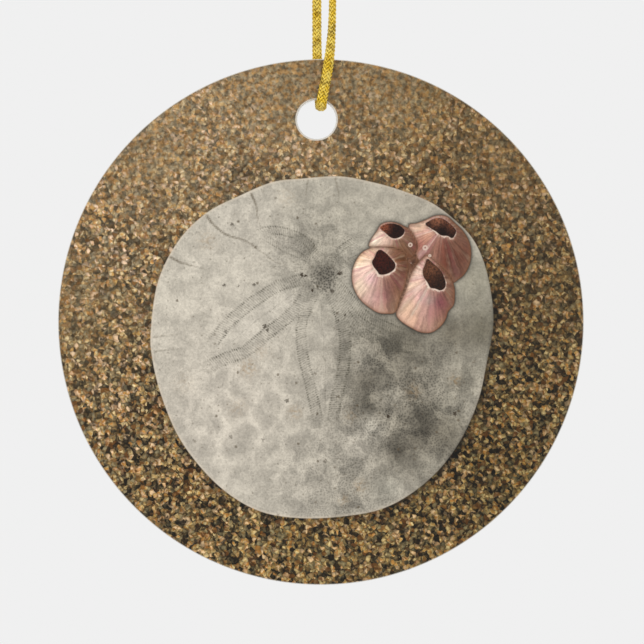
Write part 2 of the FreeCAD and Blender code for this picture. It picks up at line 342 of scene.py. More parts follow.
class OrnamentStageSettings(bpy.types.PropertyGroup):
    view_width: length("View Width", "Width that the camera sees at the printed face", 0.0893)
    distance: length("Camera Distance", "From the printed face to the camera", 0.6)
    surround: shade("Surround", "Colour of the surroundings", (0.871, 0.871, 0.871))
    key_power: bpy.props.FloatProperty(name="Key Power", description="Power of the soft key light",
                                       default=1.15, min=0.0, unit="POWER")


# Numbers for the picture

def linear(colour):
    """A display colour from 0 to 255 as linear light."""
    c = np.asarray(colour, float) / 255
    return np.where(c <= 0.04045, c / 12.92, ((c + 0.055) / 1.055) ** 2.4)


def smooth_line(points, closed=False, steps=8):
    """A smooth line through the points."""
    p = np.array(points, float)
    ends = (p[-1], p[0], p[1]) if closed else (2 * p[0] - p[1], 2 * p[-1] - p[-2])
    ring = np.vstack([ends[0], p, *ends[1:]])
    t = np.linspace(0, 1, steps, endpoint=False)[:, None]
    out = []
    for a, b, c, d in zip(ring, ring[1:], ring[2:], ring[3:]):
        out.append(0.5 * (2 * b + (c - a) * t + (2 * a - 5 * b + 4 * c - d) * t ** 2
                          + (3 * b - 3 * c + d - a) * t ** 3))
    out.append(p[:1] if closed else p[-1:])
    return np.vstack(out)


def line_field(spots, line, reach):
    """For each spot: its distance from the line, how far along the nearest point is, and its side."""
    gap = np.full(len(spots), float(reach))
    along = np.zeros(len(spots))
    side = np.ones(len(spots))
    close = np.where(np.all((spots > line.min(0) - reach) & (spots < line.max(0) + reach), axis=1))[0]
    travelled = 0.0
    for a, b in zip(line, line[1:]):
        step = b - a
        size = float(np.hypot(*step))
        if size < 1e-9:
            continue
        out = spots[close] - a
        share = np.clip(out @ step / size ** 2, 0, 1)
        off = out - share[:, None] * step
        d = np.hypot(off[:, 0], off[:, 1])
        better = d < gap[close]
        chosen = close[better]
        gap[chosen] = d[better]
        along[chosen] = travelled + share[better] * size
        side[chosen] = np.sign(step[0] * out[better, 1] - step[1] * out[better, 0])
        travelled += size
    return gap, along, side


def inside(spots, line):
    """Which spots lie inside a closed line."""
    within = np.zeros(len(spots), bool)
    x, z = spots[:, 0], spots[:, 1]
    for (ax, az), (bx, bz) in zip(line, line[1:]):
        if az != bz:
            crosses = (az > z) != (bz > z)
            within ^= crosses & (x < (bx - ax) * (z - az) / (bz - az) + ax)
    return within


def depth_field(spots, outline, reach):
    """Distance inside a closed outline, negative outside it."""
    line = smooth_line(outline, closed=True)
    gap = line_field(spots, line, reach)[0]
    return np.where(inside(spots, line), gap, -gap)


def away_from(spots, right, up):
    """The distance of each spot from one place."""
    return np.hypot(spots[:, 0] - right, spots[:, 1] - up)


def dab(spots, right, up, radius, strength):
    """A soft round dab: its strength in the middle, fading outwards."""
    return strength * np.exp(-away_from(spots, right, up) ** 2 / (2 * radius ** 2))


def wash(spots, ground, dabs):
    """Colour at each spot: the ground colour with soft dabs laid over it."""
    colour = np.tile(linear(ground), (len(spots), 1))
    for right, up, radius, paint, strength in dabs:
        colour += dab(spots, right, up, radius, strength)[:, None] * (linear(paint) - colour)
    return colour


def blot(spots, dabs):
    """The strongest of several soft dabs at each spot."""
    return np.max([dab(spots, *each) for each in dabs], axis=0)


def nearest_dab(spots, dabs):
    """The distance from the nearest dab, in its own radii, and that dab's strength."""
    gap = np.full(len(spots), 4.0)
    strength = np.zeros(len(spots))
    for right, up, radius, dark in dabs:
        away = away_from(spots, right, up) / radius
        strength = np.where(away < gap, dark, strength)
        gap = np.minimum(gap, away)
    return gap, strength


def pore_fields(spots, reach=4.0, fade_length=1.5):
    """The nearest row of pores: how far to its side, how far along it, and how dark it is."""
    best = np.full(len(spots), reach)
    across = np.full(len(spots), reach)
    along = np.zeros(len(spots))
    dark = np.zeros(len(spots))
    for strength, width, points in PORE_ROWS:
        gap, run, side = line_field(spots, smooth_line(points), reach)
        closer = gap < best
        best[closer] = gap[closer]
        across[closer] = (gap * side / (width / 2))[closer]
        along[closer] = run[closer]
        fade = np.clip(run / fade_length, 0, 1) * np.clip((run.max() - run) / fade_length, 0, 1)
        dark[closer] = (strength * (0.45 + 0.55 * fade))[closer]
    return across, along, dark


def groove_field(spots, half_width=0.36):
    """How dark the nearest groove is: darkest along its middle and where it begins."""
    value = np.zeros(len(spots))
    for dark, points in GROOVES:
        gap, run = line_field(spots, smooth_line(points), 1.0)[:2]
        fade = 1 - 0.6 * run / max(run.max(), 1e-6)
        value = np.maximum(value, dark * fade * np.clip(1 - gap / half_width, 0, 1))
    return value


def barnacle_fields(spots, reach=5.0):
    """Fields of the cluster, the front ones painted over the back ones: how deep in the cluster, how
    far from the own edge and from the mouth, the way out from the mouth, how near the base, how light."""
    body, own, mouth = (np.full(len(spots), -reach) for field in range(3))
    rise = np.ones(len(spots))
    way = np.zeros((len(spots), 3))
    light = np.ones(len(spots))
    for number, (lightness, outline, opening) in enumerate(BARNACLES.values()):
        edge = depth_field(spots, outline, reach)
        lip = depth_field(spots, opening, reach)
        body = np.maximum(body, edge)
        own = np.where(edge > 0, edge, np.where(own > 0, np.minimum(own, -edge), np.maximum(own, edge)))
        near = (edge > 0) | ((edge > -0.4) & (body < 0.01))
        mouth = np.where(near, lip, mouth)
        out = spots - np.mean(opening, axis=0)
        out /= np.maximum(np.linalg.norm(out, axis=1), 1e-6)[:, None]
        way[near] = np.column_stack([out[near], np.full(near.sum(), 3.0 * number)])
        from_lip = np.clip(-lip, 0, None)
        rise = np.where(near, from_lip / (from_lip + np.clip(edge, 0, None) + 1e-6), rise)
        light = np.where(near, lightness, light)
    return body, own, mouth, way, rise, light


def edge_gap(spots, disc):
    """How far in from the rim or from the hole's edge, in millimetres."""
    rim = DISC_RADIUS / MM - away_from(spots, 0, 0)
    hole = away_from(spots, disc.hole_side / MM, disc.hole_height / MM)
    return np.minimum(rim, hole - disc.hole_radius / MM - HOLE_EDGE_INSET)


# Meshes

def finish_mesh(bm, name):
    """Turns a bmesh into a smooth-shaded object."""
    bm.normal_update()
    mesh = bpy.data.meshes.new(name)
    bm.to_mesh(mesh)
    bm.free()
    mesh.polygons.foreach_set("use_smooth", [True] * len(mesh.polygons))
    obj = bpy.data.objects.new(name, mesh)
    bpy.context.scene.collection.objects.link(obj)
    return obj


def from_axis(v, axis):
    """How far a point stands from an axis along Y."""
    return math.hypot(v.co.x - axis.x, v.co.z - axis.z)


def hole_axis(disc):
    return DISC_AXIS + Vector((disc.hole_side, 0, disc.hole_height))


def wall(radius, rounding, outward, start):
    """A side's profile of (radius, y): the front edge from an angle on, then the back edge."""
    middle = radius - outward * rounding
    front = [(middle + outward * rounding * math.cos(a), FRONT_Y + rounding * (1 - math.sin(a)))
             for a in np.linspace(start, 0, FRONT_EDGE_STEPS)]
    back = [(middle + outward * rounding * math.cos(a), BACK_Y - rounding * (1 - math.sin(a)))
            for a in np.linspace(0, math.pi / 2, BACK_EDGE_STEPS)]
    return front + back


def spin_profile(bm, profile, axis, steps):
    """Spins a profile of (radius, y) round an axis along Y."""
    verts = [bm.verts.new((axis.x + r, y, axis.z)) for r, y in profile]
    edges = [bm.edges.new(pair) for pair in zip(verts, verts[1:])]
    bmesh.ops.spin(bm, geom=verts + edges, cent=axis, axis=(0, 1, 0), angle=FULL_TURN,
                   steps=steps, use_merge=True, use_duplicate=False)


def ring_edges(bm, axis, radius, y):
    """The edges that lie on one circle about the axis."""
    return [e for e in bm.edges if all(abs(from_axis(v, axis) - radius) < 2e-6 and abs(v.co.y - y) < 1e-7
                                       for v in e.verts)]


def fill_ring(bm, edges):
    """Fills the flat ring between two loops. It is done in millimetres, because the filling loses its
    way among very short edges."""
    bmesh.ops.scale(bm, vec=(1 / MM, 1 / MM, 1 / MM), verts=bm.verts)
    bmesh.ops.triangle_fill(bm, edges=edges, use_beauty=True, use_dissolve=False)
    bmesh.ops.scale(bm, vec=(MM, MM, MM), verts=bm.verts)


def edge_reach(radius, down):
    """How far a rounded edge comes out, a depth down from the face."""
    return math.sqrt(radius ** 2 - (radius - down) ** 2)


def build_disc(disc):
    """The glazed body: a rounded ring at the rim and in the hole, joined by two flat faces."""
    bm = bmesh.new()
    hole = hole_axis(disc)
    start = math.asin(1 - disc.print_wrap / disc.rim_round)
    spin_profile(bm, wall(DISC_RADIUS, disc.rim_round, 1, start), DISC_AXIS, RIM_STEPS)
    spin_profile(bm, wall(disc.hole_radius, disc.hole_round, -1, start), hole, HOLE_STEPS)
    seam_in = disc.rim_round - edge_reach(disc.rim_round, disc.print_wrap)
    for y, outer, inner in ((FRONT_Y + disc.print_wrap, DISC_RADIUS - seam_in, disc.hole_radius + seam_in),
                            (BACK_Y, DISC_RADIUS - disc.rim_round, disc.hole_radius + disc.hole_round)):
        fill_ring(bm, ring_edges(bm, DISC_AXIS, outer, y) + ring_edges(bm, hole, inner, y))
    bmesh.ops.remove_doubles(bm, verts=bm.verts, dist=1e-7)
    bmesh.ops.recalc_face_normals(bm, faces=bm.faces)
    return finish_mesh(bm, "glazed_body")


def build_face(disc, cells):
    """The printed coat: a fine grid drawn out to a round face, with the hole and both rounded edges."""
    bm = bmesh.new()
    hole = hole_axis(disc)
    flat = DISC_RADIUS - disc.rim_round
    lip = disc.hole_radius + disc.hole_round
    bmesh.ops.create_grid(bm, x_segments=cells, y_segments=cells, size=1.0)
    for v in bm.verts:
        x, z = v.co.x, v.co.y
        v.co = (DISC_AXIS.x + flat * x * math.sqrt(1 - z * z / 2), FRONT_Y,
                DISC_AXIS.z + flat * z * math.sqrt(1 - x * x / 2))
    gone = [v for v in bm.verts if from_axis(v, hole) < lip + GRID_MARGIN]
    bmesh.ops.delete(bm, geom=gone, context="VERTS")
    border = [e for e in bm.edges if e.is_boundary]
    inner = [e for e in border if from_axis(e.verts[0], hole) < 2 * lip]
    outer = [e for e in border if e not in set(inner)]
    made = bmesh.ops.create_circle(bm, cap_ends=False, segments=HOLE_STEPS, radius=lip)["verts"]
    for v in made:
        v.co = (hole.x + v.co.x, FRONT_Y, hole.z + v.co.y)
    circle = list({e for v in made for e in v.link_edges})
    fill_ring(bm, inner + circle)
    backs = []
    for loop, axis, outward, base, radius in ((outer, DISC_AXIS, 1, flat, disc.rim_round),
                                              (circle, hole, -1, lip, disc.hole_round)):
        for i in range(1, WRAP_STEPS + 1):
            down = disc.print_wrap * (i / WRAP_STEPS) ** 2
            new = bmesh.ops.extrude_edge_only(bm, edges=loop)["geom"]
            for v in (g for g in new if isinstance(g, bmesh.types.BMVert)):
                away = Vector((v.co.x - axis.x, 0, v.co.z - axis.z)).normalized()
                place = Vector((axis.x, FRONT_Y + down, axis.z))
                v.co = place + away * (base + outward * edge_reach(radius, down))
            loop = [g for g in new if isinstance(g, bmesh.types.BMEdge)]
        backs += loop
    fill_ring(bm, backs)
    bmesh.ops.recalc_face_normals(bm, faces=bm.faces)
    return finish_mesh(bm, "printed_face")


def picture_attributes(mesh, disc):
    """Stores the picture's fields on the mesh, which the print's material reads."""
    co = np.empty(len(mesh.vertices) * 3, np.float32)
    mesh.vertices.foreach_get("co", co)
    co = co.reshape(-1, 3).astype(float)
    spots = np.column_stack([co[:, 0] - DISC_MIDDLE.x, co[:, 2] - DISC_MIDDLE.z]) / MM
    across, along, dark = pore_fields(spots)
    body, own, mouth, way, rise, light = barnacle_fields(spots)
    speck_gap, speck_dark = nearest_dab(spots, SPECKS)
    fields = {
        "test_depth": depth_field(spots, TEST_OUTLINE, 8.0), "star_depth": depth_field(spots, STAR, 3.0),
        "pore_across": across, "pore_along": along, "pore_dark": dark,
        "barnacle_depth": body, "barnacle_edge": own, "mouth_depth": mouth,
        "barnacle_rise": rise, "barnacle_light": light, "ring_gap": nearest_dab(spots, TINY_RINGS)[0],
        "speck_gap": speck_gap, "speck_dark": speck_dark, "groove": groove_field(spots),
        "stain": blot(spots, STAINS), "soft_focus": blot(spots, SOFT_FOCUS),
        "stipple": blot(spots, STIPPLE), "plated": blot(spots, PLATED),
        "cast_shade": blot(spots, CAST_SHADE), "edge_gap": edge_gap(spots, disc),
    }
    for name, values in fields.items():
        store(mesh, name, "FLOAT", "value", values)
    store(mesh, "barnacle_way", "FLOAT_VECTOR", "vector", way)
    for name, recipe in (("sand_wash", SAND_WASH), ("test_wash", TEST_WASH),
                         ("barnacle_wash", BARNACLE_WASH), ("mouth_wash", MOUTH_WASH)):
        rgba = np.column_stack([wash(spots, *recipe), np.ones(len(spots))])
        store(mesh, name, "FLOAT_COLOR", "color", rgba)


def store(mesh, name, kind, field, values):
    """Stores one value for each vertex."""
    attribute = mesh.attributes.new(name, kind, "POINT")
    attribute.data.foreach_set(field, values.astype(np.float32).ravel())


# Cords

def route_line(name, route):
    """The smooth line of a cord: points along the NURBS spline that the route controls."""
    curve = bpy.data.curves.new(name, "CURVE")
    curve.dimensions = "3D"
    curve.resolution_u = 24
    spline = curve.splines.new("NURBS")
    spline.points.add(len(route) - 1)
    for point, place in zip(spline.points, route):
        point.co = (*place, 1)
    spline.order_u = 3
    spline.use_endpoint_u = True
    holder = bpy.data.objects.new(name, curve)
    mesh = bpy.data.meshes.new_from_object(holder)
    line = np.array([v.co for v in mesh.vertices], float)
    bpy.data.objects.remove(holder)
    bpy.data.meshes.remove(mesh)
    bpy.data.curves.remove(curve)
    return line


def sample(at, run, table):
    """The rows of a table read off at places along a run."""
    return np.stack([np.interp(at, run, column) for column in table.T], axis=-1)


def even_steps(line, step):
    """The same line with points an even step apart, and how far along each one is."""
    run = np.concatenate([[0], np.cumsum(np.linalg.norm(np.diff(line, axis=0), axis=1))])
    along = np.linspace(0, run[-1], max(8, int(round(run[-1] / step))) + 1)
    return sample(along, run, line), along


class Cord:
    """A cord's centre line with a frame that doesn't twist, so that points can be laid round it.

    With turn the cord is a little flat: its wide side lies across the view, turned by the angle that
    turn gives for a share of the length.
    """

    def __init__(self, line, turn=None):
        self.line, self.along = even_steps(line, CORD_STEP)
        tangents = np.gradient(self.line, axis=0)
        tangents /= np.linalg.norm(tangents, axis=1)[:, None]
        normal = np.cross(tangents[0], (0.0, 1.0, 0.0))
        normals = [normal / np.linalg.norm(normal)]
        for t in tangents[1:]:
            n = normals[-1] - t * np.dot(normals[-1], t)
            normals.append(n / np.linalg.norm(n))
        self.normal = np.array(normals)
        self.side = np.cross(tangents, self.normal)
        shares = self.along / self.along[-1]
        turned = np.interp(shares, *zip(*turn))[:, None] if turn else np.zeros((len(shares), 1))
        self.wide = np.cos(turned) * self.normal + np.sin(turned) * self.side
        self.flat = FLATNESS if turn else 0.0

    def place(self, along, angle, radius):
        """Points at a distance along the cord, an angle round it and a radius from its middle."""
        along = np.clip(along, 0, self.along[-1])
        middle, normal, side, wide = (sample(along, self.along, table)
                                      for table in (self.line, self.normal, self.side, self.wide))
        c, s = np.cos(angle)[..., None], np.sin(angle)[..., None]
        out = radius[..., None] * (c * normal + s * side)
        across = np.sum(out * wide, axis=-1, keepdims=True) * wide
        return middle + (1 + self.flat) * across + (1 - self.flat) * (out - across)


def tube_grid(bm, rows, around, shape):
    """A grid rolled into a tube by shape(rows, angles), with its seam closed and its ends filled."""
    part = bmesh.new()
    for each in (bm, part):
        each.loops.layers.uv.get("braid") or each.loops.layers.uv.new("braid")
    bmesh.ops.create_grid(part, x_segments=around, y_segments=rows, size=0.5, calc_uvs=True)
    grid = np.array([v.co for v in part.verts], float)[:, :2] + 0.5
    for v, place in zip(part.verts, shape(grid[:, 1], grid[:, 0] * FULL_TURN)):
        v.co = place
    bmesh.ops.remove_doubles(part, verts=part.verts, dist=1e-7)
    bmesh.ops.holes_fill(part, edges=[e for e in part.edges if e.is_boundary], sides=around + 1)
    bmesh.ops.recalc_face_normals(part, faces=part.faces)
    mesh = bpy.data.meshes.new("part")
    part.to_mesh(mesh)
    part.free()
    bm.from_mesh(mesh)
    bpy.data.meshes.remove(mesh)


def braid(bm, cord, diameter, pitch):
    """Sixteen flat strands, eight each way, that pass over two and under two of the others."""
    total = cord.along[-1]
    thick = STRAND_THICKNESS * diameter
    wave = STRAND_WAVE * diameter
    middle = diameter / 2 - thick / 2 - wave
    slope = math.atan2(FULL_TURN * middle, pitch)
    wide = STRAND_COVER * pitch / STRANDS_EACH_WAY * math.sin(slope)
    for way in (1, -1):
        for number in range(STRANDS_EACH_WAY):

            def strand(row, angle):
                along = row * total
                crossing = 2 * STRANDS_EACH_WAY * along / pitch
                over = way * np.cos(math.pi / 2 * (2 * number + way * crossing - 0.5))
                across = wide / 2 * np.sin(angle)
                radius = middle + wave * over + thick / 2 * np.cos(angle)
                turned = FULL_TURN * (way * along / pitch + number / STRANDS_EACH_WAY)
                turned = turned + way * across * math.cos(slope) / middle
                return cord.place(along - across * math.sin(slope), turned, radius)

            tube_grid(bm, int(total / pitch * ROWS_PER_PITCH), STRAND_SIDES, strand)


def core(bm, cord, radius):
    """The plain round core that fills the braid."""
    def skin(row, angle):
        return cord.place(row * cord.along[-1], angle, np.full(len(row), radius))
    tube_grid(bm, len(cord.along) // 3, CORE_SIDES, skin)


def braided_piece(name, routes, settings, turn=None):
    """One piece of braided cord along each route. Returns the piece and the first route's line."""
    bm = bmesh.new()
    lines = []
    for route in routes:
        cord = Cord(route_line(name + "_line", route), turn)
        lines.append(cord.line)
        braid(bm, cord, settings.diameter, settings.pitch)
    yarn_faces = len(bm.faces)
    for line in lines:
        core(bm, Cord(line, turn), CORE_RADIUS * settings.diameter)
    bm.faces.ensure_lookup_table()
    for face in bm.faces[yarn_faces:]:
        face.material_index = 1
    piece = finish_mesh(bm, name)
    piece.data.materials.append(gold_yarn(settings))
    piece.data.materials.append(cord_core(settings))
    return piece, lines[0]


# Materials

class Value:
    """A number, colour or place in a material's nodes. Sums and products of it add nodes."""

    def __init__(self, graph, socket):
        self.graph = graph
        self.socket = socket

    def __add__(self, other):
        return self.graph.math("ADD", self, other)

    def __sub__(self, other):
        return self.graph.math("SUBTRACT", self, other)

    def __rsub__(self, other):
        return self.graph.math("SUBTRACT", other, self)

    def __mul__(self, other):
        return self.graph.math("MULTIPLY", self, other)

    def __abs__(self):
        return self.graph.math("ABSOLUTE", self)

    __radd__ = __add__

    def step(self, low, high, to_low=0, to_high=1):
        """A smooth step from to_low to to_high as this number goes from low to high."""
        return self.graph.add("MapRange", {"Value": self, "From Min": low, "From Max": high,
                                           "To Min": to_low, "To Max": to_high},
                              interpolation_type="SMOOTHSTEP")

    def mix(self, share, other, blend="MIX"):
        """This colour with a share of another one laid over it."""
        return self.graph.mix(share, self, other, blend)

    def scale(self, factor):
        """This colour times a number."""
        return self.graph.scaled(self, factor)

    def shift(self, by, share=1.0):
        """This place moved by a share of another one."""
        return self.graph.add("VectorMath", {0: by, 1: (share, share, share), 2: self},
                              operation="MULTIPLY_ADD")

    def output(self, name):
        """Another output of the same node."""
        return Value(self.graph, self.socket.node.outputs[name])

    def parts(self, kind="SeparateColor"):
        """The three numbers of this colour, or of this place with SeparateXYZ."""
        node = self.graph.add(kind, {0: self}).socket.node
        return [Value(self.graph, socket) for socket in node.outputs]


class Graph:
    """A material's nodes, added one after another."""

    def __init__(self, name, dimensions="3D"):
        self.dimensions = dimensions
        self.material = bpy.data.materials.new(name)
        self.material.use_nodes = True
        self.nodes = self.material.node_tree.nodes
        self.links = self.material.node_tree.links
        self.nodes.clear()
        self.surface = self.nodes.new("ShaderNodeBsdfPrincipled")
        output = self.nodes.new("ShaderNodeOutputMaterial")
        self.links.new(self.surface.outputs[0], output.inputs["Surface"])

    def feed(self, socket, value):
        if isinstance(value, Value):
            self.links.new(value.socket, socket)
        elif socket.type == "RGBA":
            socket.default_value = (*value, 1)
        else:
            socket.default_value = value

    def set(self, **values):
        for name, value in values.items():
            self.feed(self.surface.inputs[name.replace("_", " ")], value)

    def add(self, kind, inputs, output=0, **options):
        """Adds a node with its options and inputs. Returns one of its outputs."""
        node = self.nodes.new("ShaderNode" + kind)
        for name, option in options.items():
            setattr(node, name, option)
        for name, value in inputs.items():
            self.feed(node.inputs[name], value)
        return Value(self, node.outputs[output])

    def math(self, operation, *values, clamp=False):
        """One sum of two numbers, or one function of a number."""
        return self.add("Math", dict(enumerate(values)), operation=operation, use_clamp=clamp)

    def attribute(self, name, output="Fac"):
        return self.add("Attribute", {}, output, attribute_type="GEOMETRY", attribute_name=name)

    def spots(self, scale=(1000, 1000, 1000), coordinates="Object", tilt=0.0):
        """Places on the surface, in millimetres unless scaled otherwise."""
        source = self.add("TexCoord", {}, coordinates)
        return self.add("Mapping", {"Vector": source, "Scale": scale, "Rotation": (tilt, 0, 0)})

    def noise(self, vector, scale, detail=2.0, rough=0.5, output="Fac", dimensions=None):
        return self.add("TexNoise", {"Vector": vector, "Scale": scale, "Detail": detail,
                                     "Roughness": rough},
                        output, noise_dimensions=dimensions or self.dimensions)

    def cells(self, vector, scale, feature="F1", random=1.0, **more):
        """The distance from the nearest cell's point. Its Color output differs from cell to cell."""
        return self.add("TexVoronoi", {"Vector": vector, "Scale": scale, "Randomness": random, **more},
                        "Distance", voronoi_dimensions=self.dimensions, feature=feature)

    def mix(self, share, a, b, blend="MIX"):
        return self.add("Mix", {0: share, 6: a, 7: b}, 2, data_type="RGBA", blend_type=blend)

    def scaled(self, colour, factor):
        return self.add("VectorMath", {0: colour, "Scale": factor}, operation="SCALE")

    def ramp(self, value, stops):
        colour = self.add("ValToRGB", {0: value})
        elements = colour.socket.node.color_ramp.elements
        while len(elements) < len(stops):
            elements.new(0.5)
        for element, (place, paint) in zip(elements, stops):
            element.position = place
            element.color = (*tone(*paint), 1)
        return colour

    def bump(self, height, strength, distance):
        self.set(Normal=self.add("Bump", {"Strength": strength, "Distance": distance, "Height": height}))


def tone(*colour):
    """A display colour for a material's socket."""
    return tuple(float(c) for c in linear(colour))


def sand(g, spots, settings):
    """Coarse mixed sand: soft grains of their own colours with dark gaps, out of focus at the top."""
    loose = spots.shift(g.noise(spots, 1.3, output="Color"), 0.6)
    density = MM / settings.grain
    big = g.cells(loose, density, "SMOOTH_F1", Smoothness=0.32)
    small = g.cells(loose, 1.9 * density, "SMOOTH_F1", Smoothness=0.40)
    big_hue, big_light, big_kind = big.output("Color").parts()[:3]
    small_hue, small_light = small.output("Color").parts()[:2]
    hue = (big_hue * 0.72 + small_hue * 0.28).step(0.12, 0.86)
    colour = g.ramp(hue, [(0.00, (122, 110, 88)), (0.18, (98, 74, 42)), (0.36, (150, 124, 84)),
                          (0.54, (184, 164, 130)), (0.70, (160, 126, 74)), (0.86, (150, 102, 52)),
                          (1.00, (188, 160, 134))])
    light = (big_light * 0.62 + small_light * 0.38).step(0.18, 0.84, 0.10, 2.25)
    colour = colour.scale(light * big.step(0.15, 0.70, 1.15, 0.55))
    colour = colour.mix(big_kind.step(0.80, 0.92, 0, 0.36), tone(170, 104, 40))
    haze = g.mix(g.noise(spots, 1.2).step(0.42, 0.60), tone(136, 118, 90), tone(148, 112, 68))
    haze = haze.scale(g.noise(spots.shift((40, 7, 0)), 1.5, 3, 0.6).step(0.30, 0.70, 0.52, 1.55))
    colour = colour.mix(g.attribute("soft_focus") * 0.86, haze)
    colour = colour.scale(g.noise(spots, 0.35, 3, 0.6).step(0.3, 0.7, 0.86, 1.14))
    wanted = g.add("VectorMath", {0: g.attribute("sand_wash", "Color"), 1: SAND_MEAN}, operation="DIVIDE")
    colour = colour.mix(1.0, wanted, "MULTIPLY")
    near = g.attribute("test_depth").step(-1.7, 0.1)
    return colour.scale(1 - g.attribute("cast_shade") * near * 0.84)


def test_skin(g, spots):
    """The dry urchin test: warm grey with soft plates, fine dots, pores, grooves, stains and specks."""
    ground = g.attribute("test_wash", "Color")
    warp = g.noise(spots, 0.4, output="Color")
    loose = spots.shift(warp, 2.4)
    stipple = g.attribute("stipple")
    plates = g.cells(spots.shift(warp, 1.6), 0.235, "DISTANCE_TO_EDGE", random=0.75)
    plate = 1 + g.attribute("plated") * plates.step(0, 0.24, 0.17, -0.08)
    mottle = 1 + g.noise(loose, 0.36, 5, 0.70).step(0.30, 0.70, -1, 1) * (0.16 + stipple * 0.30)
    fine = g.noise(spots, 2.4, 3, 0.72).step(0.28, 0.72, 0.88, 1.08)
    dots = g.cells(spots.shift(warp, 0.9), 2.9, random=0.8)
    dark_patch = g.noise(loose, 0.27, 3, 0.6).step(0.40, 0.62)
    dotting = 1 - dots.step(0.14, 0.50, 1, 0) * (0.07 + stipple * (0.26 + dark_patch * 0.24))
    patch = 1 - stipple * dark_patch * 0.30
    colour = ground.scale(plate * mottle * fine * dotting * patch)
    for density, low, high, strength, place in ((0.36, 0.03, 0.10, 0.70, 3.1),
                                                (0.85, 0.04, 0.15, 0.42, 9.4),
                                                (1.9, 0.08, 0.28, 0.22, 5.7)):
        stray = g.cells(spots.shift((place, 2 * place, 0)), density)
        share = stray.output("Color").parts()[0].step(0.62, 0.95)
        ragged = stray + (g.noise(spots, 5, 1) - 0.5) * (0.24 * density)
        colour = colour.mix(ragged.step(low, high, 1, 0) * share * strength, tone(84, 70, 50))
    stain = g.attribute("stain") * g.noise(spots, 2).step(0.38, 0.6)
    colour = colour.mix(stain * 0.42, tone(160, 122, 66))
    colour = colour.mix(pore_marks(g, spots), tone(82, 78, 66))
    star = g.attribute("star_depth") + (g.noise(spots, 1.6) - 0.5) * 0.9
    colour = colour.scale(1 - star.step(-0.3, 0.2) * (0.56 - dots * 0.70))
    groove = g.attribute("groove") + (g.noise(spots, 3) * 0.4 - 0.2)
    colour = colour.mix(groove.step(0.16, 0.75, 0, 0.72), tone(92, 80, 60))
    speck = g.attribute("speck_gap") + (g.noise(spots, 4, 1) * 1.4 - 0.7)
    colour = colour.mix(speck.step(0.6, 1.15, 0.92, 0) * g.attribute("speck_dark"), tone(52, 40, 26))
    thin_rim = g.attribute("test_depth").step(0, 0.45, 1, 0)
    lit_side = ground.parts()[0].step(0.30, 0.50)
    colour = colour.mix(thin_rim * lit_side * 0.42, tone(226, 210, 188))
    return colour.scale(1 - thin_rim * (1 - lit_side) * 0.30)


def pore_marks(g, spots):
    """Slanting combs of pores along the petals, between two rows of dots, and fine lines beside them."""
    across = g.attribute("pore_across")
    ragged = g.noise(spots, 1.6) - 0.5
    off = abs(across + ragged * 0.45)
    slant = g.attribute("pore_along") + across * 0.22 + ragged * 0.32
    comb = g.math("SINE", slant * (FULL_TURN / PORE_PITCH)).step(-0.6, 0.8)
    comb = comb * g.noise(spots, 3.6, 2, 0.7).step(0.34, 0.62, 0.35, 1.1)
    band = off.step(0.75, 1.15, 1, 0)
    rows = abs(off - 0.85).step(0, 0.32, 1, 0)
    beside = off.step(1, 3.6, 1, 0) * comb * 0.12
    patchy = g.noise(spots, 0.7, 3, 0.6).step(0.32, 0.68, 0.55, 1.15)
    marks = band * comb * 0.26 + rows * comb.step(0, 0.7, 0.4, 1) * 0.46 + band * 0.08 + beside
    return g.math("MULTIPLY", marks * patchy, g.attribute("pore_dark"), clamp=True)


